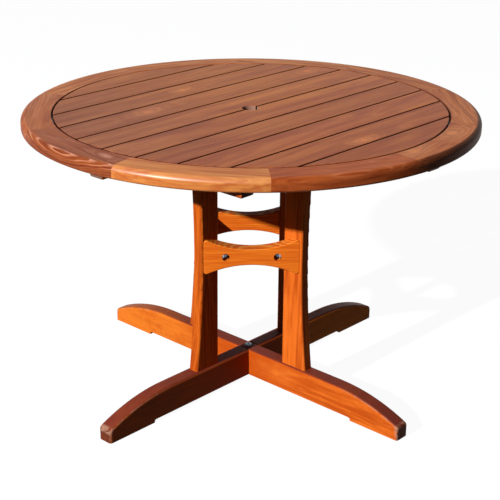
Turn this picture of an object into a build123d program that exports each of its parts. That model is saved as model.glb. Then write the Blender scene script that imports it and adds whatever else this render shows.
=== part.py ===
from build123d import *
import math
import os

# Driving sizes in millimetres and degrees. Everything below them is worked out from these.
# The round top.
top_diameter = 1144.0
table_height = 742.0
top_thickness = 32.0
rim_width = 76.0
rim_top_round = 14.0
rim_under_round = 6.0
rim_inner_round = 2.5
rim_segment_count = 10
rim_joint_angle = 11.0
spline_radial = 44.0
spline_across = 40.0
spline_thickness = 8.0
slat_count = 10
slat_gap = 5.0
slat_outer_trim = 11.0
slat_end_gap = 3.5
slat_edge_round = 2.0
umbrella_hole = 42.0

# Battens and bearer arms under the top.
batten_thickness = 20.0
batten_width = 38.0
batten_round = 5.0
batten_end_gap = 2.0
outer_batten_inset = 92.5
inner_batten_inset = 36.0
rim_screw_inset = 8.0
arm_thickness = 42.0
arm_housing = 5.0
arm_depth = 72.0
arm_start_radius = 120.0
arm_flat_radius = 300.0
arm_tip_length = 60.0
arm_end_inset = 32.0
arm_edge_round = 4.0
arm_tip_round = 6.0
arm_tip_cove = 15.0
arm_bolt_inset = 20.0
arm_bolt_spread = 28.0
arm_bolt_margin = 20.0

# The four posts.
post_thickness = 30.0
post_inner_radius = 132.0
post_foot_width = 80.0
post_waist_width = 60.0
post_head_width = 77.0
post_edge_round = 5.0
tenon_length = 40.0
tenon_thickness = 18.0
tenon_depth = 25.0

# The four bow-tie rails.
rail_thickness = 36.0
rail_set_out = 3.0
rail_middle_height = 42.0
rail_end_height = 100.0
rail_corner_round = 8.0
rail_centre_height = 394.5
rail_edge_round = 3.0
rail_pocket_diameter = 19.5
rail_pocket_depth = 27.0
rail_pocket_offset = 65.0

# The two crossing base beams.
beam_length = 1036.0
beam_width = 42.0
beam_height = 82.0
beam_end_height = 35.0
beam_arch_start = 310.0
beam_edge_round = 6.5
beam_tip_round = 11.0
foot_pad_length = 148.0
foot_relief = 8.0
foot_cove = 6.0

# Fasteners.
screw_length = 42.0
screw_diameter = 5.0
screw_head_diameter = 9.0
screw_head_depth = 3.5
screw_point = 6.0
screw_counterbore = 12.0
bolt_diameter = 8.0
bolt_head_across = 13.0
bolt_head_height = 5.5
nut_height = 6.5
washer_diameter = 20.0
washer_thickness = 2.0
bolt_end_show = 3.0
lap_bolt_diameter = 10.0
lap_head_diameter = 18.0
lap_head_height = 5.0
lap_head_round = 2.5
lap_socket_across = 6.0
lap_socket_depth = 3.0
lap_nut_across = 17.0
lap_nut_height = 8.0
lap_washer_diameter = 26.0
lap_pocket_diameter = 30.0
lap_pocket_depth = 14.0
lag_grip = 60.0
lag_pocket_diameter = 24.0
lag_pocket_depth = 12.0
stud_wood_grip = 15.0
crescent_flat = 5.0
crescent_length = 16.0

# Levels and radii that follow from the sizes above.
top_radius = top_diameter / 2
rim_inner_radius = top_radius - rim_width
rim_middle_radius = rim_inner_radius + rim_width / 2
segment_angle = 360.0 / rim_segment_count
slat_field_radius = rim_inner_radius - slat_end_gap
slat_pitch = 2 * (slat_field_radius + slat_outer_trim) / slat_count
slat_width = slat_pitch - slat_gap
slat_lines = [slat_pitch * (k - (slat_count - 1) / 2) for k in range(slat_count)]
outer_slat_edge = slat_lines[-1] - slat_width / 2
outer_slat_half = math.sqrt(slat_field_radius**2 - outer_slat_edge**2)
under_top = table_height - top_thickness
batten_floor = under_top - batten_thickness
outer_batten_offset = slat_field_radius - outer_batten_inset
rim_screw_radius = rim_middle_radius - rim_screw_inset
rim_screw_line = math.sqrt(rim_screw_radius**2 - outer_batten_offset**2)
outer_batten_length = 2 * rim_screw_line + batten_width
inner_batten_offset = outer_slat_half - inner_batten_inset
inner_batten_reach = math.sqrt(slat_field_radius**2 - inner_batten_offset**2)
inner_batten_length = 2 * (inner_batten_reach - batten_end_gap)
arm_end_radius = top_radius - arm_end_inset
arm_tip_start_radius = arm_end_radius - arm_tip_length
beam_half = beam_length / 2
lap_level = (beam_height + foot_relief) / 2
post_height = under_top - beam_height
post_half = post_thickness / 2
arm_near_face = post_half - arm_housing
arm_far_face = arm_near_face + arm_thickness
arm_middle = (arm_near_face + arm_far_face) / 2
square_diagonal = math.hypot(1, 1)
rail_back = (post_inner_radius + post_half) / square_diagonal + rail_set_out
rail_front = rail_back + rail_thickness
rail_middle = (rail_back + rail_front) / 2
arm_turns = {"back_right": 0.0, "back_left": 90.0, "front_left": 180.0, "front_right": 270.0}
rail_turns = {"back": -45.0, "left": 45.0, "front": 135.0, "right": 225.0}


def turned(shape, angle):
    """Turns a shape about the table's upright axis."""
    return Rot(0, 0, angle) * shape


def upright_rod(radius, bottom, top, x=0.0, y=0.0):
    """A round rod standing on its end."""
    rod = Cylinder(radius, top - bottom, align=(Align.CENTER, Align.CENTER, Align.MIN))
    return Pos(x, y, bottom) * rod


def lying_rod(radius, start, length, turn):
    """A round rod from a start point, its axis turned away from upright."""
    rod = Cylinder(radius, length, align=(Align.CENTER, Align.CENTER, Align.MIN))
    return Pos(*start) * turn * rod


def side_slab(face, thickness, middle=0.0):
    """Thickens an upright side profile evenly about a middle plane."""
    return Pos(0, middle, 0) * extrude(Plane.XZ * face, thickness / 2, both=True)


def rounded_corner(face, place, radius):
    """Rounds the corner of a side profile nearest to a place."""
    corner = face.vertices().sort_by_distance((place[0], place[1], 0))[0]
    return fillet(corner, radius)


def arch_radius(run, rise):
    """Radius of an arch that starts level and changes height by rise over run."""
    return (run**2 + rise**2) / (2 * rise)


def arch_change(radius, run):
    """Height change of such an arch part of the way along."""
    return radius - math.sqrt(radius**2 - run**2)


def hex_block(across, height):
    """A hexagonal head or nut standing on the XY plane."""
    return extrude(RegularPolygon(across / 2, 6, major_radius=False), height)


def ring_washer(outer, hole, thickness):
    """A flat washer lying on the XY plane."""
    return extrude(Circle(outer / 2) - Circle(hole / 2), thickness)


def solids_near(part, others):
    """The other solids whose boxes meet the part's box."""
    box = part.bounding_box()
    near = []
    for other in others:
        edge = other.bounding_box()
        apart_x = edge.min.X > box.max.X or edge.max.X < box.min.X
        apart_y = edge.min.Y > box.max.Y or edge.max.Y < box.min.Y
        apart_z = edge.min.Z > box.max.Z or edge.max.Z < box.min.Z
        if not (apart_x or apart_y or apart_z):
            near.append(other)
    return near


def cut_near(part, others):
    """Cuts out of a part every solid that reaches into it."""
    for other in solids_near(part, others):
        part = part - other
    return part


def save(name, shapes):
    """Writes one node, a single solid or a group of separate solids."""
    group = shapes if isinstance(shapes, list) else [shapes]
    solids = [solid for shape in group for solid in shape.solids()]
    node = solids[0] if len(solids) == 1 else Compound(children=solids)
    node.label = name
    export_step(node, os.path.join("parts", name + ".step"))


os.makedirs("parts", exist_ok=True)

# Wood screws all stand with their heads at the batten floor and their points in the slats or the rim.
screw_outline = Polyline(
    (0, 0),
    (screw_head_diameter / 2, 0),
    (screw_diameter / 2, screw_head_depth),
    (screw_diameter / 2, screw_length - screw_point),
    (0, screw_length),
    close=True,
)
wood_screw = revolve(Plane.XZ * make_face(screw_outline), Axis.Z)


def screws_at(places):
    """Wood screws at the given places, heads at the batten floor."""
    return [Pos(x, y, batten_floor) * wood_screw for x, y in places]


slat_places = []
rim_places = []
for side in (-1, 1):
    for offset in (outer_batten_offset, inner_batten_offset):
        reach = math.sqrt(slat_field_radius**2 - offset**2)
        for line in slat_lines:
            if abs(line) + slat_width / 2 < reach:
                slat_places.append((side * offset, line))
    for end in (-1, 1):
        outer_line = (outer_slat_edge + inner_batten_length / 2) / 2
        slat_places.append((side * inner_batten_offset, end * outer_line))
        rim_places.append((side * outer_batten_offset, end * rim_screw_line))
arm_places = []
for angle in arm_turns.values():
    spin = math.radians(angle)
    for radius, places in (
        (slat_lines[-2], arm_places),
        (slat_lines[-1], arm_places),
        (rim_middle_radius - batten_width / 2, rim_places),
    ):
        x = radius * math.cos(spin) - arm_middle * math.sin(spin)
        y = radius * math.sin(spin) + arm_middle * math.cos(spin)
        places.append((x, y))
slat_screws = screws_at(slat_places)
rim_screws = screws_at(rim_places)
arm_screws = screws_at(arm_places)

# Rim: ten curved segments with splined ends.
spline_blank = Box(spline_radial, spline_across, spline_thickness)
spline_place = Pos(rim_middle_radius, 0, table_height - top_thickness / 2) * spline_blank
splines = []
for k in range(rim_segment_count):
    splines.append(turned(spline_place, rim_joint_angle + k * segment_angle))
rim_profile = Pos(rim_middle_radius, table_height - top_thickness / 2) * Rectangle(rim_width, top_thickness)
rim_profile = rounded_corner(rim_profile, (top_radius, table_height), rim_top_round)
rim_profile = rounded_corner(rim_profile, (top_radius, under_top), rim_under_round)
rim_profile = rounded_corner(rim_profile, (rim_inner_radius, table_height), rim_inner_round)
rim_blank = revolve(Plane.XZ * rim_profile, Axis.Z, segment_angle)
for k in range(rim_segment_count):
    segment = turned(rim_blank, rim_joint_angle + k * segment_angle)
    segment = cut_near(segment, splines[k : k + 2] + splines[:1])
    segment = cut_near(segment, rim_screws)
    save(f"rim_segment_{k + 1:02d}", segment)
save("rim_splines", splines)

# Slats: straight boards cut to the circle, the middle pair notched for the umbrella pole.
field = upright_rod(slat_field_radius, under_top, table_height)
pole_way = upright_rod(umbrella_hole / 2, under_top, table_height)
for k, line in enumerate(slat_lines):
    board = Pos(0, line, table_height - top_thickness / 2) * Box(top_diameter, slat_width, top_thickness)
    slat = (board & field) - pole_way
    top_edges = slat.faces().sort_by(Axis.Z)[-1].edges()
    slat = fillet(top_edges, slat_edge_round)
    slat = cut_near(slat, slat_screws + arm_screws)
    save(f"slat_{k + 1:02d}", slat)


def make_batten(length):
    """A batten along Y under the slats, its lower edges rounded."""
    blank = Pos(0, 0, under_top - batten_thickness / 2) * Box(batten_width, length, batten_thickness)
    return fillet(blank.faces().sort_by(Axis.Z)[0].edges(), batten_round)


outer_batten = make_batten(outer_batten_length)
inner_batten = make_batten(inner_batten_length)
battens = {
    "batten_outer_front": Pos(-outer_batten_offset, 0, 0) * outer_batten,
    "batten_inner_front": Pos(-inner_batten_offset, 0, 0) * inner_batten,
    "batten_inner_back": Pos(inner_batten_offset, 0, 0) * inner_batten,
    "batten_outer_back": Pos(outer_batten_offset, 0, 0) * outer_batten,
}
for name, batten in battens.items():
    save(name, cut_near(batten, slat_screws + rim_screws))

# Bearer arm, drawn along +X beside its post, then turned to the four posts.
arm_floor = under_top - arm_depth
arm_run = arm_tip_start_radius - arm_flat_radius
arm_arch = arch_radius(arm_run, arm_depth - batten_thickness)
arm_outline = [
    Line((arm_start_radius, under_top), (arm_end_radius, under_top)),
    Line((arm_end_radius, under_top), (arm_end_radius, batten_floor)),
    Line((arm_end_radius, batten_floor), (arm_tip_start_radius, batten_floor)),
    ThreePointArc(
        (arm_tip_start_radius, batten_floor),
        (arm_flat_radius + arm_run / 2, arm_floor + arch_change(arm_arch, arm_run / 2)),
        (arm_flat_radius, arm_floor),
    ),
    Line((arm_flat_radius, arm_floor), (arm_start_radius, arm_floor)),
    Line((arm_start_radius, arm_floor), (arm_start_radius, under_top)),
]
arm_face = make_face(arm_outline)
arm_face = rounded_corner(arm_face, (arm_end_radius, batten_floor), arm_tip_round)
arm_face = rounded_corner(arm_face, (arm_tip_start_radius, batten_floor), arm_tip_cove)
arm_blank = side_slab(arm_face, arm_thickness, arm_middle)
arm_sides = arm_blank.faces().filter_by(Axis.Y)
arm_low_edges = [
    edge
    for edge in arm_sides.edges()
    if edge.center().Z < under_top - arm_edge_round and edge.center().X > arm_start_radius + arm_edge_round
]
arm_blank = fillet(arm_low_edges, arm_edge_round)

# Arm bolts, drawn beside the +X post: head on the arm, nut on the far side of the post.
toward_arm = Rot(-90, 0, 0)
arm_bolt_places = (
    (post_inner_radius + arm_bolt_inset, arm_floor + arm_bolt_margin),
    (post_inner_radius + arm_bolt_inset + arm_bolt_spread, under_top - arm_bolt_margin),
)
bolt_end = -post_half - washer_thickness - nut_height - bolt_end_show
bolt_seat = arm_far_face + washer_thickness
arm_bolts = []
arm_washers = []
arm_nuts = []
washer = ring_washer(washer_diameter, bolt_diameter, washer_thickness)
nut = hex_block(bolt_head_across, nut_height) - upright_rod(bolt_diameter / 2, 0, nut_height)
bolt_head = hex_block(bolt_head_across, bolt_head_height)
for radius, level in arm_bolt_places:
    shank = lying_rod(bolt_diameter / 2, (radius, bolt_end, level), bolt_seat - bolt_end, toward_arm)
    head = Pos(radius, bolt_seat, level) * toward_arm * bolt_head
    for angle in arm_turns.values():
        arm_bolts.append(turned(shank + head, angle))
        arm_washers.append(turned(Pos(radius, arm_far_face, level) * toward_arm * washer, angle))
        far_washer = Pos(radius, -post_half - washer_thickness, level) * toward_arm * washer
        arm_washers.append(turned(far_washer, angle))
        far_nut = Pos(radius, -post_half - washer_thickness - nut_height, level) * toward_arm * nut
        arm_nuts.append(turned(far_nut, angle))
save("arm_bolts", arm_bolts)
save("arm_washers", arm_washers)
save("arm_nuts", arm_nuts)
screw_wells = []
for x, y in arm_places:
    screw_wells.append(upright_rod(screw_counterbore / 2, arm_floor, batten_floor, x, y))
for name, angle in arm_turns.items():
    arm = turned(arm_blank, angle)
    arm = cut_near(arm, list(battens.values()))
    arm = cut_near(arm, screw_wells + arm_screws + rim_screws)
    arm = cut_near(arm, arm_bolts)
    save(f"arm_{name}", arm)
save("slat_screws", slat_screws)
save("rim_screws", rim_screws)
save("arm_screws", arm_screws)

# Lag screws up through the beams into the feet of the posts, with washers in round wells.
lag_radius = post_inner_radius + post_foot_width / 2
lag_seat = foot_relief + lag_pocket_depth
lag_head_top = lag_seat - washer_thickness
lag_shank = upright_rod(bolt_diameter / 2, lag_head_top, beam_height + lag_grip, lag_radius)
lag_head = Pos(lag_radius, 0, lag_head_top - bolt_head_height) * bolt_head
lag_washer = Pos(lag_radius, 0, lag_head_top) * washer
lag_well = upright_rod(lag_pocket_diameter / 2, 0, lag_seat, lag_radius)
lags = [turned(lag_shank + lag_head, angle) for angle in arm_turns.values()]
lag_washers = [turned(lag_washer, angle) for angle in arm_turns.values()]
lag_wells = [turned(lag_well, angle) for angle in arm_turns.values()]
save("post_lag_screws", lags)
save("post_lag_washers", lag_washers)

# Rails: bow-tie boards with mitred ends, drawn along X at their distance out along Y.
# The edges are rounded while the ends are still square, then the mitres are cut.
rail_front_half = rail_front - post_thickness / square_diagonal
rail_back_half = rail_back - post_thickness / square_diagonal
rail_middle_half = rail_middle - post_thickness / square_diagonal
rail_low_end = rail_centre_height - rail_end_height / 2
rail_high_end = rail_centre_height + rail_end_height / 2
rail_outline = [
    ThreePointArc(
        (-rail_front_half, rail_high_end),
        (0, rail_centre_height + rail_middle_height / 2),
        (rail_front_half, rail_high_end),
    ),
    Line((rail_front_half, rail_high_end), (rail_front_half, rail_low_end)),
    ThreePointArc(
        (rail_front_half, rail_low_end),
        (0, rail_centre_height - rail_middle_height / 2),
        (-rail_front_half, rail_low_end),
    ),
    Line((-rail_front_half, rail_low_end), (-rail_front_half, rail_high_end)),
]
rail_face = make_face(rail_outline)
for side in (-1, 1):
    for level in (rail_low_end, rail_high_end):
        rail_face = rounded_corner(rail_face, (side * rail_front_half, level), rail_corner_round)
rail_blank = side_slab(rail_face, rail_thickness, rail_middle)
rail_blank = fillet(rail_blank.faces().filter_by(Axis.Y).edges(), rail_edge_round)
rail_plan_outline = Polyline(
    (-rail_back_half, rail_back),
    (rail_back_half, rail_back),
    (rail_front_half, rail_front),
    (-rail_front_half, rail_front),
    close=True,
)
rail_plan = Pos(0, 0, rail_low_end) * extrude(make_face(rail_plan_outline), rail_end_height)
rail_blank = rail_blank & rail_plan

# Each rail end: a stud screwed slantwise into the post, a half-moon washer and a nut in the pocket.
# Two studs meet in each post from its two sides, so they stop short of its middle.
along_rail = Rot(0, 90, 0)
into_rail = Rot(90, 0, 0)
stud_start = rail_pocket_offset + crescent_flat - nut_height - bolt_end_show
stud_length = rail_middle_half + stud_wood_grip - stud_start
stud = lying_rod(bolt_diameter / 2, (stud_start, rail_middle, rail_centre_height), stud_length, along_rail)
pocket_mouth = (rail_pocket_offset, rail_front, rail_centre_height)
pocket = lying_rod(rail_pocket_diameter / 2, pocket_mouth, rail_pocket_depth, into_rail)
crescent_mouth = (rail_pocket_offset, rail_middle + crescent_length / 2, rail_centre_height)
crescent_round = lying_rod(rail_pocket_diameter / 2, crescent_mouth, crescent_length, into_rail)
crescent_align = (Align.MIN, Align.CENTER, Align.CENTER)
crescent_block = Box(rail_pocket_diameter, crescent_length, rail_pocket_diameter, align=crescent_align)
crescent_seat = Pos(rail_pocket_offset + crescent_flat, rail_middle, rail_centre_height)
crescent = (crescent_round & (crescent_seat * crescent_block)) - stud
rail_nut = crescent_seat * Rot(0, -90, 0) * nut
studs = []
crescents = []
rail_nuts = []
for name, angle in rail_turns.items():
    rail = rail_blank
    for end in (0, 1):
        pieces = [stud, crescent, rail_nut, pocket]
        if end:
            pieces = [mirror(piece, Plane.YZ) for piece in pieces]
        studs.append(turned(pieces[0], angle))
        crescents.append(turned(pieces[1], angle))
        rail_nuts.append(turned(pieces[2], angle))
        rail = rail - pieces[0] - pieces[3]
    save(f"rail_{name}", turned(rail, angle))
save("rail_studs", studs)
save("rail_half_moon_washers", crescents)
save("rail_nuts", rail_nuts)

# Post, drawn on the +X beam: straight inside edge, hollow outside edge, a tenon below.
post_waist_level = beam_height + post_height / 2
post_outline = [
    Line((post_inner_radius, beam_height), (post_inner_radius + post_foot_width, beam_height)),
    ThreePointArc(
        (post_inner_radius + post_foot_width, beam_height),
        (post_inner_radius + post_waist_width, post_waist_level),
        (post_inner_radius + post_head_width, under_top),
    ),
    Line((post_inner_radius + post_head_width, under_top), (post_inner_radius, under_top)),
    Line((post_inner_radius, under_top), (post_inner_radius, beam_height)),
]
post_blank = side_slab(make_face(post_outline), post_thickness)
post_long_edges = [
    edge
    for edge in post_blank.faces().filter_by(Axis.Y).edges()
    if edge.bounding_box().size.Z > post_height / 2
]
post_blank = fillet(post_long_edges, post_edge_round)
tenon = Pos(lag_radius, 0, beam_height - tenon_depth / 2) * Box(tenon_length, tenon_thickness, tenon_depth)
post_blank = (post_blank + tenon) - arm_blank
for name, angle in arm_turns.items():
    post = turned(post_blank, angle)
    post = cut_near(post, arm_bolts + lags + studs + list(battens.values()))
    save(f"post_{name}", post)

# Base beams: arched above, relieved between the foot pads, halved into each other at the middle.
pad_inner = beam_half - foot_pad_length
beam_run = beam_half - beam_arch_start
beam_arch = arch_radius(beam_run, beam_height - beam_end_height)
beam_mid_level = beam_height - arch_change(beam_arch, beam_run / 2)
beam_outline = [
    Line((-pad_inner, foot_relief), (pad_inner, foot_relief)),
    Line((-beam_arch_start, beam_height), (beam_arch_start, beam_height)),
]
for side in (-1, 1):
    beam_outline += [
        Line((side * pad_inner, foot_relief), (side * pad_inner, 0)),
        Line((side * pad_inner, 0), (side * beam_half, 0)),
        Line((side * beam_half, 0), (side * beam_half, beam_end_height)),
        ThreePointArc(
            (side * beam_half, beam_end_height),
            (side * (beam_arch_start + beam_run / 2), beam_mid_level),
            (side * beam_arch_start, beam_height),
        ),
    ]
beam_face = make_face(beam_outline)
for side in (-1, 1):
    beam_face = rounded_corner(beam_face, (side * beam_half, beam_end_height), beam_tip_round)
    beam_face = rounded_corner(beam_face, (side * pad_inner, foot_relief), foot_cove)
beam_blank = side_slab(beam_face, beam_width)
beam_top_edges = [
    edge
    for edge in beam_blank.faces().filter_by(Axis.Y).edges()
    if edge.bounding_box().max.Z > foot_relief + foot_cove
]
beam_blank = fillet(beam_top_edges, beam_edge_round)
tenons = [turned(tenon, angle) for angle in arm_turns.values()]
beam_cuts = tenons + lag_wells + lags

# The lap bolt has a low round head with a hexagonal socket. It goes down through the middle of
# both beams to a washer and nut in a round well.
lap_seat = foot_relief + lap_pocket_depth
lap_nut_top = lap_seat - washer_thickness
lap_shank_end = lap_nut_top - lap_nut_height - bolt_end_show
lap_shank = upright_rod(lap_bolt_diameter / 2, lap_shank_end, beam_height)
lap_head_top = beam_height + lap_head_height
lap_head = upright_rod(lap_head_diameter / 2, beam_height, lap_head_top)
lap_head = fillet(lap_head.faces().sort_by(Axis.Z)[-1].edges(), lap_head_round)
lap_socket = hex_block(lap_socket_across, lap_socket_depth)
lap_head = lap_head - Pos(0, 0, lap_head_top - lap_socket_depth) * lap_socket
lap_washer = ring_washer(lap_washer_diameter, lap_bolt_diameter, washer_thickness)
lap_nut_hole = upright_rod(lap_bolt_diameter / 2, 0, lap_nut_height)
lap_nut = hex_block(lap_nut_across, lap_nut_height) - lap_nut_hole
lap_well = upright_rod(lap_pocket_diameter / 2, 0, lap_seat)
save("lap_bolt", lap_shank + lap_head)
save("lap_washer", Pos(0, 0, lap_nut_top) * lap_washer)
save("lap_nut", Pos(0, 0, lap_nut_top - lap_nut_height) * lap_nut)
lap_block = Box(beam_width, beam_width, beam_height, align=(Align.CENTER, Align.CENTER, Align.MIN))
under_beam = beam_blank - Pos(0, 0, lap_level) * lap_block
under_beam = cut_near(under_beam, beam_cuts + [lap_shank, lap_well])
save("base_beam_under", under_beam)
over_beam = turned(beam_blank - Pos(0, 0, lap_level - beam_height) * lap_block, 90)
over_beam = cut_near(over_beam, beam_cuts + [lap_shank])
save("base_beam_over", over_beam)
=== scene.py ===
import math

import bmesh
import bpy
from mathutils import Euler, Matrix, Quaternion, Vector


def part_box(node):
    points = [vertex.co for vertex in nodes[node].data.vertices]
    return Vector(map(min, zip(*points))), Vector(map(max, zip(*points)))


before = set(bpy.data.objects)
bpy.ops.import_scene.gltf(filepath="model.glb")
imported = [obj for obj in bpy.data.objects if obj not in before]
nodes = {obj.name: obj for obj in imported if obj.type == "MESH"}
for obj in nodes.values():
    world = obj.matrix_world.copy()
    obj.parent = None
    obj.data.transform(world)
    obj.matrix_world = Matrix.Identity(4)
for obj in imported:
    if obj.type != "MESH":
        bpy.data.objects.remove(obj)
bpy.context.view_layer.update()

# Base beams: two planks of stained softwood on edge, sawn to an arch, halved into each other
# in the middle and rounded along their upper edges. They stand on pads at their four ends.


class Strand:
    """A value in a material's node tree. Arithmetic on it adds Math nodes."""

    def __init__(self, tree, socket=None):
        self.tree = tree
        self.socket = socket

    def node(self, kind, settings, sockets, output=0):
        """Adds any other node: its settings first, then the values or links of its sockets."""
        made = self.tree.nodes.new(kind)
        for name, value in settings.items():
            setattr(made, name, value)
        for name, value in sockets.items():
            if isinstance(value, Strand):
                self.tree.links.new(value.socket, made.inputs[name])
            else:
                made.inputs[name].default_value = value
        return Strand(self.tree, made.outputs[output] if made.outputs else None)

    def maths(self, operation, *values):
        """Adds a Math node."""
        return self.node("ShaderNodeMath", {"operation": operation}, dict(enumerate(values)))

    def __add__(self, other):
        return self.maths("ADD", self, other)

    def __radd__(self, other):
        return self.maths("ADD", other, self)

    def __sub__(self, other):
        return self.maths("SUBTRACT", self, other)

    def __rsub__(self, other):
        return self.maths("SUBTRACT", other, self)

    def __mul__(self, other):
        return self.maths("MULTIPLY", self, other)

    def __rmul__(self, other):
        return self.maths("MULTIPLY", other, self)

    def __truediv__(self, other):
        return self.maths("DIVIDE", self, other)

    def __rtruediv__(self, other):
        return self.maths("DIVIDE", other, self)

    def __pow__(self, other):
        return self.maths("POWER", self, other)

    def __abs__(self):
        return self.maths("ABSOLUTE", self)

    def part(self, axis):
        """One of the three parts of a place or a direction."""
        return self.node("ShaderNodeSeparateXYZ", {}, {0: self}, axis)

    def length(self):
        """How far a place is from the middle."""
        return self.node("ShaderNodeVectorMath", {"operation": "LENGTH"}, {0: self}, "Value")

    def stretched(self, factors):
        """A place scaled along the grain and across it."""
        return self.node("ShaderNodeVectorMath", {"operation": "MULTIPLY"}, {0: self, 1: factors})

    def cloud(self, detail, seed, scale=1.0):
        """Soft noise from 0 to 1 over a place."""
        shift = (seed, seed * 1.7, seed * 2.3)
        moved = self.node("ShaderNodeVectorMath", {"operation": "ADD"}, {0: self, 1: shift})
        sockets = {"Vector": moved, "Scale": scale, "Detail": detail, "Roughness": 0.65}
        return self.node("ShaderNodeTexNoise", {}, sockets)

    def step(self, low, high):
        """Rises smoothly from 0 to 1 between two values."""
        sockets = {"Value": self, "From Min": low, "From Max": high}
        return self.node("ShaderNodeMapRange", {"interpolation_type": "SMOOTHSTEP"}, sockets)

    def mixed(self, kind, share, first, second):
        """Adds a Mix node, whose sockets 6 and 7 are its colours and 2 its colour result."""
        settings = {"data_type": "RGBA", "blend_type": kind}
        return self.node("ShaderNodeMix", settings, {0: share, 6: first, 7: second}, 2)

    def blend(self, first, second):
        """Mixes two colours, with this value as the share of the second."""
        return self.mixed("MIX", self, first, second)

    def tinted(self, cast):
        """This colour, multiplied by another."""
        return self.mixed("MULTIPLY", 1.0, self, cast)


def bare_finish(name):
    """A material with an empty node tree, and a strand to add its nodes by."""
    finish = bpy.data.materials.new(name)
    finish.use_nodes = True
    finish.node_tree.nodes.clear()
    return finish, Strand(finish.node_tree)


def shade(colour, factors):
    """A colour with its parts scaled."""
    return tuple(min(1.0, part * factor) for part, factor in zip(colour, factors)) + (1.0,)


def near(place, spot, inner, outer, grain=(0.0, 0.0, 0.0), long=1.0):
    """Falls from 1 at a spot to 0 away from it, in a patch that can be longer along the grain."""
    sockets = {"Vector": place, "Location": spot, "Rotation": grain, "Scale": (long, 1.0, 1.0)}
    patch = place.node("ShaderNodeMapping", {"vector_type": "TEXTURE"}, sockets)
    return 1.0 - patch.length().step(inner, outer)


knot_long = 2.6
core_long = 1.3


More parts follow.
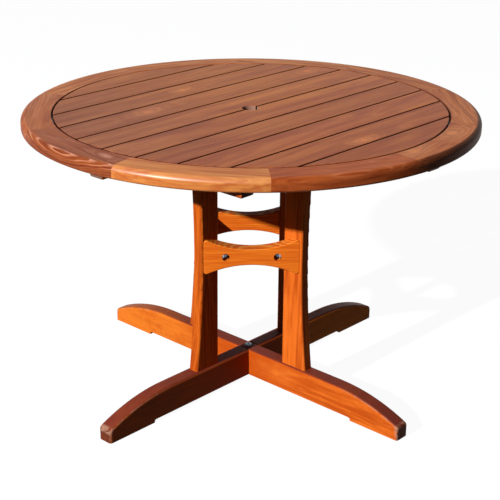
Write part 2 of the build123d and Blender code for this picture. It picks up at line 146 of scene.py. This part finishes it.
def stained_wood(
    name,
    heart,  # a point on the middle line of the log
    grain,  # the turn that lays X along the fibres
    pale,
    deep,
    seed,
    ring=0.0062,  # the width of a growth ring
    strands=2.6,  # how much the streaks show
    line=0.5,  # how much the late wood shows
    flat=1.0,  # the share of the late wood that shows on a flat top
    light=None,  # the colour of the late wood
    ends=None,  # the colour of the end grain
    gloss=0.42,  # the middle of the roughness
    shine=0.03,  # the specular level
    polish=0.0,  # the clear coat on slanting faces
    knots=(),  # the place of each, its reach and how far it lifts the rings
    weather=None,  # a function that gives the wood its wear
):
    """Stained softwood. Growth rings lie round the heart of the log, a line along the grain that
    passes near the board, so faces, ends and sawn curves show what they cut out of the same rings."""
    material, board = bare_finish(name)
    place = board.node("ShaderNodeTexCoord", {}, {}, "Object")
    facing = board.node("ShaderNodeTexCoord", {}, {}, "Normal")
    rise = facing.part("Z")
    turned = {"Vector": place, "Location": heart, "Rotation": grain}
    log = board.node("ShaderNodeMapping", {"vector_type": "TEXTURE"}, turned)
    across = log.part("Y")
    through = log.part("Z")

    sway = log.stretched((1.4, 6.0, 6.0)).cloud(detail=2.0, seed=seed)
    ripple = log.stretched((7.0, 45.0, 45.0)).cloud(detail=2.0, seed=seed + 3.0)
    groups = log.stretched((4.0, 18.0, 18.0)).cloud(detail=2.0, seed=seed + 4.0)
    broad = log.stretched((2.2, 38.0, 38.0)).cloud(detail=3.0, seed=seed + 5.0)
    streak = log.stretched((8.0, 190.0, 190.0)).cloud(detail=3.0, seed=seed + 6.0)
    fibre = log.stretched((18.0, 700.0, 700.0)).cloud(detail=2.0, seed=seed + 7.0)
    fleck = log.stretched((22.0, 110.0, 110.0)).cloud(detail=2.0, seed=seed + 8.0)
    strand = log.stretched((6.0, 95.0, 95.0)).cloud(detail=2.0, seed=seed + 9.0)

    radius = (across * across + through * through) ** 0.5
    radius = radius + (sway - 0.5) * 0.045 + (ripple - 0.5) * 0.006
    for spot, reach, lift in knots:
        radius = radius + near(place, spot, 0.0, reach, grain, knot_long) * lift
    count = radius / ring
    sockets = {"W": count * 0.6 + seed, "Scale": 1.0, "Detail": 3.0}
    band = board.node("ShaderNodeTexNoise", {"noise_dimensions": "1D"}, sockets)
    phase = board.maths("FRACT", count)
    late = phase.step(0.45, 0.9) * (1.0 - phase.step(0.93, 1.0))

    tone = (band - 0.5) * 1.2 + (broad - 0.5) * 1.1 + (streak - 0.5) * 1.5 + (groups - 0.5) * 0.7
    tone = tone + (strand - 0.5) * strands + 0.5
    colour = tone.step(0.0, 1.0).blend(deep, pale)
    dark_streak = shade(deep, (0.7, 0.6, 0.6))
    colour = (streak.step(0.56, 0.7) * 0.3).blend(colour, dark_streak)

    bright = light or shade(pale, (1.25, 1.65, 2.4))
    grouped = groups.step(0.5 - 0.25 * line, 0.74 - 0.25 * line)
    lines = late * grouped * (rise.step(0.1, 0.4) * 0.7 + 0.3)
    lines = lines * (1.0 - rise.step(0.95, 0.995) * (1.0 - flat))
    colour = (lines * line).blend(colour, bright)
    colour = (fleck.step(0.66, 0.8) * 0.35).blend(colour, bright)
    knot_core = shade(bright, (1.1, 1.0, 0.9))
    for spot, reach, _ in knots:
        figure = near(place, spot, reach * 0.1, reach * 0.8, grain, knot_long)
        colour = (figure * (late * 0.3 + 0.5)).blend(colour, bright)
        core = near(place, spot, reach * 0.1, reach * 0.3, grain, core_long)
        colour = (core * 0.9).blend(colour, knot_core)
    colour = (fibre * 0.4 + 0.78).blend((0.0, 0.0, 0.0, 1.0), colour)

    fibres = Euler(grain).to_matrix() @ Vector((1.0, 0.0, 0.0))
    sockets = {0: facing, 1: fibres}
    ending = board.node("ShaderNodeVectorMath", {"operation": "DOT_PRODUCT"}, sockets, "Value")
    end_grain = ends or shade(deep, (0.16, 0.35, 1.6))
    colour = (abs(ending).step(0.5, 0.8) * 0.9).blend(colour, end_grain)
    if weather:
        colour = weather(place, facing, colour)

    relief = fibre * 0.6 + late * 0.4
    sockets = {"Strength": 0.25, "Distance": 0.0005, "Height": relief}
    dents = board.node("ShaderNodeBump", {}, sockets)
    coat = rise.step(0.1, 0.35) * (1.0 - rise.step(0.9, 0.99)) * polish if polish else 0.0
    sockets = {
        "Base Color": colour,
        "Roughness": gloss + (streak - 0.5) * 0.2 + (fibre - 0.5) * 0.12,
        "Normal": dents,
        "Specular IOR Level": shine,
        "Coat Weight": coat,
        "Coat Roughness": 0.4,
    }
    skin = board.node("ShaderNodeBsdfPrincipled", {}, sockets)
    board.node("ShaderNodeOutputMaterial", {}, {"Surface": skin})
    return material


def dress(node, material):
    """Gives a CAD node its finish."""
    mesh = nodes[node].data
    mesh.materials.clear()
    mesh.materials.append(material)


def middle(node):
    """The middle of a CAD node's box."""
    low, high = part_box(node)
    return (low + high) / 2


along_x = (0.0, 0.0, 0.0)
along_y = (0.0, 0.0, math.radians(90.0))
frame_pale = (0.635, 0.132, 0.0130, 1.0)
frame_deep = (0.405, 0.062, 0.0055, 1.0)
beam_tip = 0.517
beam_blotch = (0.43, 0.062, 0.0045, 1.0)
beam_faded = (0.66, 0.178, 0.0165, 1.0)
# Painted shade for the near side of the beams, turned away from the lamp.
painted_beam_shade = (0.20, 0.048, 0.014, 1.0)
beam_top = (0.1688, 0.02937, 0.01625, 1.0)
beam_end = (0.1125, 0.02375, 0.01125, 1.0)
beam_scuff = (0.3875, 0.2062, 0.1375, 1.0)
over_knots = (((-0.021, -0.116, 0.048), 0.05, 0.012), ((-0.021, -0.069, 0.052), 0.03, 0.008))


def weathered_beam(place, facing, colour):
    """The far halves have faded. Sides are blotched, most of all by the lap, and the near side,
    turned away from the lamp, is darkened with painted shade. Tops have taken up dirt and ends are
    dark. Edges and feet are scuffed pale."""
    x = place.part("X")
    y = place.part("Y")
    z = place.part("Z")
    rise = facing.part("Z")
    along = place.maths("MAXIMUM", abs(x), abs(y))
    aside = place.maths("MINIMUM", abs(x), abs(y))
    blotch = place.stretched((20.0, 20.0, 30.0)).cloud(detail=4.0, seed=3.0)
    dirt = place.stretched((9.0, 9.0, 9.0)).cloud(detail=3.0, seed=4.0)
    rubs = place.stretched((60.0, 60.0, 90.0)).cloud(detail=4.0, seed=6.0)

    far = place.maths("MAXIMUM", x, y).step(0.06, 0.28)
    colour = (far * 0.55).blend(colour, beam_faded)
    colour = (blotch.step(0.45, 0.7) * 0.45).blend(colour, beam_blotch)
    lap = 1.0 - along.step(0.06, 0.26)
    colour = (lap * (blotch * 0.5 + 0.5)).blend(colour, beam_blotch)
    # Painted shade on the faces turned to -Y, on the near half of the beams.
    side_shade_mask = (1.0 - facing.part("Y").step(-0.8, -0.4)) * (1.0 - x.step(-0.02, 0.12))
    colour = (side_shade_mask * (0.9 - blotch * 0.5)).blend(colour, painted_beam_shade)
    top = rise.step(0.4, 0.85) * (1.0 - y.step(0.15, 0.45) * 0.45)
    colour = (top * (dirt * 0.5 + 0.7)).blend(colour, beam_top)
    colour = (along.step(beam_tip - 0.003, beam_tip) * 0.8).blend(colour, beam_end)

    arris = rise.step(0.15, 0.4) * (1.0 - rise.step(0.6, 0.9)) * along.step(0.28, 0.42)
    colour = (arris * rubs.step(0.42, 0.6) * 0.4).blend(colour, beam_scuff)
    tip_side = aside.step(0.0155, 0.0175) * along.step(beam_tip - 0.008, beam_tip - 0.005)
    tip_top = z.step(0.022, 0.026) * along.step(beam_tip - 0.011, beam_tip - 0.006)
    tip = place.maths("MAXIMUM", tip_side, tip_top)
    tip = tip * along.step(beam_tip - 0.017, beam_tip - 0.011)
    return (tip * rubs.step(0.4, 0.58) * 0.6).blend(colour, beam_scuff)


dress(
    "base_beam_under",
    stained_wood(
        "beam_wood_under",
        middle("base_beam_under") + Vector((0.0, 0.05, -0.035)),
        (0.0, 0.012, 0.02),
        frame_pale,
        frame_deep,
        seed=1.0,
        weather=weathered_beam,
    ),
)
dress(
    "base_beam_over",
    stained_wood(
        "beam_wood_over",
        middle("base_beam_over") + Vector((0.06, 0.0, -0.02)),
        (0.012, 0.0, math.radians(91.2)),
        frame_pale,
        frame_deep,
        seed=2.0,
        knots=over_knots,
        weather=weathered_beam,
    ),
)

# Posts: four upright planks with a straight inside edge and a hollow outside edge, their long
# edges rounded. Each stands on a beam with a short tenon and is held by a lag screw from below.
upright = math.radians(-90.0)
post_hearts = {
    "post_front_left": (0.03, 0.06, 0.0),
    "post_front_right": (0.07, 0.02, 0.0),
    "post_back_left": (-0.05, 0.04, 0.0),
    "post_back_right": (0.02, -0.06, 0.0),
}
post_tones = {
    "post_front_left": (0.81, 0.76, 0.65),
    "post_front_right": (0.98, 0.95, 0.95),
    "post_back_left": (0.9, 0.9, 0.9),
    "post_back_right": (0.8, 0.8, 0.8),
}
for number, (node, offset) in enumerate(post_hearts.items()):
    lean = number - 1.5
    wood = stained_wood(
        f"{node}_wood",
        middle(node) + Vector(offset),
        (0.0, upright + 0.01 * lean, -0.008 * lean),
        shade(frame_pale, post_tones[node]),
        shade(frame_deep, post_tones[node]),
        seed=4.0 + number,
        line=0.3,
    )
    dress(node, wood)

# Rails: four bow-tie boards mitred between the posts and pulled on to them by studs. They are
# sawn with their growth rings lying flat, so the faces show straight lines and the hollow edges
# show chevrons.
rail_pale = (0.73, 0.160, 0.0095, 1.0)
rail_deep = (0.585, 0.0915, 0.0048, 1.0)
rail_light = (0.75, 0.26, 0.042, 1.0)
rail_turns = {"rail_front": -45.0, "rail_back": -45.0, "rail_left": 45.0, "rail_right": 45.0}
for number, (node, turn) in enumerate(rail_turns.items()):
    wood = stained_wood(
        f"{node}_wood",
        middle(node) + Vector((0.0, 0.0, -0.08)),
        (0.0, 0.005, math.radians(turn)),
        rail_pale,
        rail_deep,
        seed=11.0 + number,
        ring=0.0042,
        line=1.3,
        light=rail_light,
        shine=0.012,
    )
    dress(node, wood)

# Bearer arms: four softwood planks on edge, housed and bolted to the sides of the posts, thinned
# to a rounded tip under the rim and screwed up into the top. Their ends have weathered grey.
grey_end = (0.15, 0.085, 0.058, 1.0)
arm_grains = {
    "arm_back_left": along_y,
    "arm_front_right": along_y,
    "arm_back_right": along_x,
    "arm_front_left": along_x,
}
for number, (node, grain) in enumerate(arm_grains.items()):
    wood = stained_wood(
        f"{node}_wood",
        middle(node) + Vector((0.03, 0.03, -0.06)),
        grain,
        frame_pale,
        frame_deep,
        seed=17.0 + number,
        ends=grey_end,
    )
    dress(node, wood)

# Battens: four softwood laths across the undersides of the slats, darker than the rest of the
# frame. They are screwed to each slat and to the rim.
batten_tone = (0.72, 0.8, 1.6)
battens = ("batten_outer_front", "batten_inner_front", "batten_inner_back", "batten_outer_back")
for number, node in enumerate(battens):
    wood = stained_wood(
        f"{node}_wood",
        middle(node) + Vector((0.02, 0.0, -0.05)),
        along_y,
        shade(frame_pale, batten_tone),
        shade(frame_deep, batten_tone),
        seed=23.0 + number,
    )
    dress(node, wood)

# Slats: ten planed boards side by side with narrow gaps, their ends cut to the circle and their
# top edges eased. The middle pair is notched for the parasol pole, and the notch is bare wood.
top_level = 0.742
pole_radius = 0.021
red_cast = (0.88, 0.78, 1.0, 1.0)
golden_spot = (0.09, 0.25, top_level)
# A cooler cast round a spot on the left of the top: a painted reflection.
painted_reflection_cast = (0.80, 0.88, 1.15, 1.0)
reflection_spot = (-0.50, 0.15, top_level)
# Painted shade for the slats' sides and ends, down in the gaps.
painted_gap_shade = (0.0625, 0.01375, 0.00625, 1.0)
bare_wood = (0.27, 0.135, 0.095, 1.0)
slat_pale = (0.5375, 0.1719, 0.04, 1.0)
slat_deep = (0.3312, 0.08, 0.0225, 1.0)
slat_light = (0.68, 0.235, 0.065, 1.0)
slat_hearts = (
    (0.02, -0.10, 0.006),
    (-0.03, -0.08, -0.012),
    (0.035, -0.12, 0.010),
    (-0.02, -0.07, 0.014),
    (0.03, -0.11, -0.009),
    (-0.035, -0.09, 0.012),
    (0.015, -0.08, -0.011),
    (-0.025, -0.12, 0.008),
    (0.03, -0.09, 0.013),
    (-0.015, -0.10, -0.010),
)
slat_tones = (0.94, 0.98, 1.02, 0.95, 1.03, 1.03, 0.95, 0.94, 0.90, 0.88)
slat_knots = {
    2: (((-0.028, -0.380, top_level), 0.035, 0.016),),
    7: (((-0.206, 0.156, top_level), 0.055, 0.02), ((0.404, 0.157, top_level), 0.04, 0.018)),
    8: (((0.007, 0.254, top_level), 0.03, 0.012),),
}


def outward_reach(place):
    """How far a place is from the upright line through the middle of the top."""
    return place.stretched((1.0, 1.0, 0.0)).length()


def slat_tints_reflection_and_shade(place, facing, colour):
    """The top is golden round one spot and carries a cooler painted reflection round another. Sides
    and ends are darkened with painted shade. The pole's hole is left pale."""
    mottle = place.stretched((3.0, 7.0, 7.0)).cloud(detail=4.0, seed=9.0).step(0.36, 0.62)
    golden = near(place, golden_spot, 0.05, 0.65) * 0.6 + mottle * 0.5
    colour = golden.blend(colour.tinted(red_cast), colour)
    # Painted reflection: a cooler cast round a spot on the left of the top.
    colour = near(place, reflection_spot, 0.1, 0.6).blend(colour, colour.tinted(painted_reflection_cast))
    # Painted shade: the sides and ends of the slats are darkened.
    colour = facing.part("Z").step(0.45, 0.95).blend(painted_gap_shade, colour)
    hole = 1.0 - outward_reach(place).step(pole_radius + 0.0002, pole_radius + 0.001)
    return hole.blend(colour, bare_wood)


for number, ((side, below, tilt), tone) in enumerate(zip(slat_hearts, slat_tones), 1):
    node = f"slat_{number:02d}"
    wood = stained_wood(
        f"{node}_wood",
        middle(node) + Vector((0.0, side, below)),
        (0.0, tilt, 0.006),
        shade(slat_pale, (tone, tone, tone)),
        shade(slat_deep, (tone, tone, tone)),
        seed=30.0 + 2.0 * number,
        strands=0.6,
        line=0.25,
        light=slat_light,
        shine=0.045,
        knots=slat_knots.get(number, ()),
        weather=slat_tints_reflection_and_shade,
    )
    dress(node, wood)

# Rim: ten curved segments sawn from straight boards, splined end to end and rounded over outside.
# The segment at the front left came from a paler, more golden board than the others.
# Cast of the rims' flat tops: a little bleaching and a painted sheen.
bleach_and_sheen_cast = (1.12, 1.24, 1.7, 1.0)
side_cast = (0.8, 0.75, 0.8, 1.0)
# Painted shade for the rim's round and side turned away from the lamp.
painted_lee_shade = (0.33, 0.33, 0.50, 1.0)
golden_cast = (0.90, 0.95, 1.15, 1.0)
inner_stain = (0.40, 0.095, 0.032, 1.0)
rim_pale = (0.5375, 0.1638, 0.0375, 1.0)
rim_deep = (0.3125, 0.07, 0.0175, 1.0)
golden_pale = (0.625, 0.2187, 0.04375, 1.0)
golden_deep = (0.45, 0.108, 0.022, 1.0)
golden_segment = 6
first_joint = 11.0
segment_angle = 36.0
rim_knots = {
    5: (((-0.522, -0.048, top_level), 0.022, 0.008),),
    8: (((-0.019, -0.514, top_level), 0.06, 0.024), ((0.162, -0.493, top_level), 0.06, 0.024)),
}
rim_lights = {5: (0.52, 0.205, 0.095, 1.0), 8: (0.56, 0.195, 0.055, 1.0)}
rim_lines = {5: 1.0, 6: 0.2}
rim_flats = {5: 0.2}
rim_tints = {
    1: (1.04, 1.08, 1.0),
    2: (1.06, 1.10, 1.0),
    3: (1.02, 1.05, 1.0),
    4: (0.85, 0.81, 0.88),
    5: (0.58, 0.48, 0.56),
    6: (1.0, 1.0, 1.0),
    7: (0.84, 0.64, 0.60),
    8: (0.93, 0.84, 0.80),
    9: (0.98, 0.95, 0.90),
    10: (1.0, 1.0, 0.95),
}


def rim_bleach_sheen_and_shade(place, facing, colour, cast=side_cast):
    """The flat top has bleached a little, less so towards the slats, and is lifted paler and cooler
    by a painted sheen. The round and the side have kept their stain, with painted shade darkest
    on the side turned away from the lamp."""
    rise = facing.part("Z")
    # Painted shade: this mask picks the part of the rim turned away from the lamp.
    lee_shade_mask = (place.part("X") - place.part("Y") * 0.5).step(0.12, 0.28)
    # The flat top, which takes the bleaching and the painted sheen.
    bleach_and_sheen_mask = rise.step(0.78, 0.99) * (1.0 - lee_shade_mask) + rise.step(0.94, 0.995) * lee_shade_mask
    mottle = place.stretched((14.0, 14.0, 14.0)).cloud(detail=4.0, seed=12.0).step(0.3, 0.65)
    inner = (1.0 - outward_reach(place).step(0.46, 0.54)) * mottle
    colour = (inner * 0.5).blend(colour, inner_stain)
    return colour.tinted(bleach_and_sheen_mask.blend(lee_shade_mask.blend(cast, painted_lee_shade), bleach_and_sheen_cast))


def golden_top(place, facing, colour):
    """The golden segment is nearly as pale down its side as on top."""
    return rim_bleach_sheen_and_shade(place, facing, colour, golden_cast)


for number, tint in rim_tints.items():
    node = f"rim_segment_{number:02d}"
    turn = math.radians(first_joint + segment_angle * (number - 0.5))
    outward = Vector((math.cos(turn), math.sin(turn), 0.0))
    heart_radius = 0.49 + 0.012 * (number % 3)
    heart_level = top_level - 0.07 - 0.006 * (number % 4)
    golden = number == golden_segment
    wood = stained_wood(
        f"{node}_wood",
        outward * heart_radius + Vector((0.0, 0.0, heart_level)),
        (0.0, 0.008 * (-1) ** number, turn + math.radians(90.0)),
        shade(golden_pale if golden else rim_pale, tint),
        shade(golden_deep if golden else rim_deep, tint),
        seed=60.0 + 2.0 * number,
        ring=0.0046,
        strands=1.2,
        line=rim_lines.get(number, 0.45),
        flat=rim_flats.get(number, 1.0),
        light=rim_lights.get(number),
        gloss=0.34 if golden else 0.38,
        shine=0.02,
        polish=1.0 if golden else 0.0,
        knots=rim_knots.get(number, ()),
        weather=golden_top if golden else rim_bleach_sheen_and_shade,
    )
    dress(node, wood)
spline_heart = (0.0, 0.0, 0.7)
spline_wood = stained_wood("spline_wood", spline_heart, along_x, rim_pale, rim_deep, seed=81.0)
dress("rim_splines", spline_wood)

# Fasteners: zinc-plated steel screws, bolts, studs, nuts and washers, turned and pressed. Those
# that are open to the weather in the rails and on the lap have gone dull.
bright_zinc = (0.55, 0.58, 0.63, 1.0)
grey_zinc = (0.16, 0.18, 0.22, 1.0)


def zinc_plate(name, tint):
    """Plated steel, clouded and slightly rough."""
    material, metal = bare_finish(name)
    place = metal.node("ShaderNodeTexCoord", {}, {}, "Object")
    bloom = place.cloud(detail=3.0, seed=1.0, scale=180.0)
    grit = place.cloud(detail=2.0, seed=2.0, scale=900.0)
    colour = bloom.step(0.3, 0.75).blend(tint, shade(tint, (0.72, 0.72, 0.72)))
    sockets = {"Strength": 0.2, "Distance": 0.0002, "Height": grit}
    dents = metal.node("ShaderNodeBump", {}, sockets)
    rough = bloom * 0.25 + 0.22
    sockets = {"Base Color": colour, "Roughness": rough, "Metallic": 1.0, "Normal": dents}
    skin = metal.node("ShaderNodeBsdfPrincipled", {}, sockets)
    metal.node("ShaderNodeOutputMaterial", {}, {"Surface": skin})
    return material


zinc = zinc_plate("zinc_plate", bright_zinc)
dull_zinc = zinc_plate("dull_zinc", grey_zinc)
fastener_finishes = {
    "slat_screws": zinc,
    "rim_screws": zinc,
    "arm_screws": zinc,
    "arm_bolts": zinc,
    "arm_washers": zinc,
    "arm_nuts": zinc,
    "rail_studs": dull_zinc,
    "rail_half_moon_washers": zinc,
    "rail_nuts": dull_zinc,
    "post_lag_screws": zinc,
    "post_lag_washers": zinc,
    "lap_bolt": dull_zinc,
    "lap_washer": dull_zinc,
    "lap_nut": dull_zinc,
}
for node, finish in fastener_finishes.items():
    dress(node, finish)

# Studio: a pale floor that keeps a faint shadow, a key light low on the left, small enough for
# clear shadow edges, and a dim, slightly cool fill from all round. The camera stands where the
# photograph was taken from.
white = (1.0, 1.0, 1.0, 1.0)
fill_colour = (0.88, 1.0, 1.2, 1.0)
fill_strength = 0.085
floor_half = 30.0
floor_drop = 0.0005
floor_glow = 0.95
floor_pale = (0.08, 0.08, 0.08, 1.0)
floor_dim = (0.055, 0.055, 0.055, 1.0)
key_elevation = math.radians(25.5)
key_side = 0.01
key_distance = 12.0
key_width = 0.24
key_level = 1.73
key_aim = Vector((0.0, 0.0, 0.4))
camera_place = (-2.21867, -2.03607, 1.54294)
camera_aim = Vector((0.66976, 0.63594, -0.3834))
camera_roll = 0.0029


def seen(strand):
    """1 for what shows straight, in a mirror or through glass, 0 for the light on the table."""
    rays = ("Is Camera Ray", "Is Glossy Ray", "Is Transmission Ray")
    straight, mirrored, through = (strand.node("ShaderNodeLightPath", {}, {}, ray) for ray in rays)
    return strand.maths("MAXIMUM", straight, strand.maths("MAXIMUM", mirrored, through))


scene = bpy.context.scene
scene.view_settings.view_transform = "Standard"
world = bpy.data.worlds.new("studio_world")
scene.world = world
world.use_nodes = True
world.node_tree.nodes.clear()
air = Strand(world.node_tree)
dim_air = air.node("ShaderNodeBackground", {}, {"Color": fill_colour, "Strength": fill_strength})
white_air = air.node("ShaderNodeBackground", {}, {"Color": white, "Strength": 1.0})
sky = air.node("ShaderNodeMixShader", {}, {0: seen(air), 1: dim_air, 2: white_air})
air.node("ShaderNodeOutputWorld", {}, {"Surface": sky})

floor_mesh = bpy.data.meshes.new("studio_floor")
floor_bm = bmesh.new()
bmesh.ops.create_grid(floor_bm, x_segments=2, y_segments=2, size=floor_half)
floor_bm.to_mesh(floor_mesh)
floor_bm.free()
floor = bpy.data.objects.new("studio_floor", floor_mesh)
scene.collection.objects.link(floor)
floor.location = (0.0, 0.0, -floor_drop)
floor_paint, ground = bare_finish("floor_paint")
glow = ground.node("ShaderNodeEmission", {}, {"Color": white, "Strength": floor_glow})
pale_paint = ground.node("ShaderNodeBsdfDiffuse", {}, {"Color": floor_pale})
pale_floor = ground.node("ShaderNodeAddShader", {}, {0: glow, 1: pale_paint})
dim_floor = ground.node("ShaderNodeBsdfDiffuse", {}, {"Color": floor_dim})
floor_skin = ground.node("ShaderNodeMixShader", {}, {0: seen(ground), 1: dim_floor, 2: pale_floor})
ground.node("ShaderNodeOutputMaterial", {}, {"Surface": floor_skin})
floor_mesh.materials.append(floor_paint)

key_direction = Vector((-math.cos(key_elevation), key_side, math.sin(key_elevation)))
key_lamp = bpy.data.lights.new("key_light", "AREA")
key_lamp.shape = "DISK"
key_lamp.size = key_width
key_lamp.energy = key_level * math.pi**2 * key_distance**2
key = bpy.data.objects.new("key_light", key_lamp)
scene.collection.objects.link(key)
key.location = key_aim + key_direction * key_distance
key.rotation_mode = "QUATERNION"
key.rotation_quaternion = key_direction.to_track_quat("Z", "Y")

lens = bpy.data.cameras.new("photo_camera")
lens.sensor_width = 36.0
lens.lens = 88.5775
lens.shift_x = 0.0404
lens.shift_y = 0.0460
lens.clip_start = 0.05
lens.clip_end = 200.0
camera = bpy.data.objects.new("photo_camera", lens)
scene.collection.objects.link(camera)
camera.location = camera_place
camera.rotation_mode = "QUATERNION"
level_view = camera_aim.to_track_quat("-Z", "Y")
camera.rotation_quaternion = level_view @ Quaternion((0.0, 0.0, 1.0), camera_roll)
scene.camera = camera
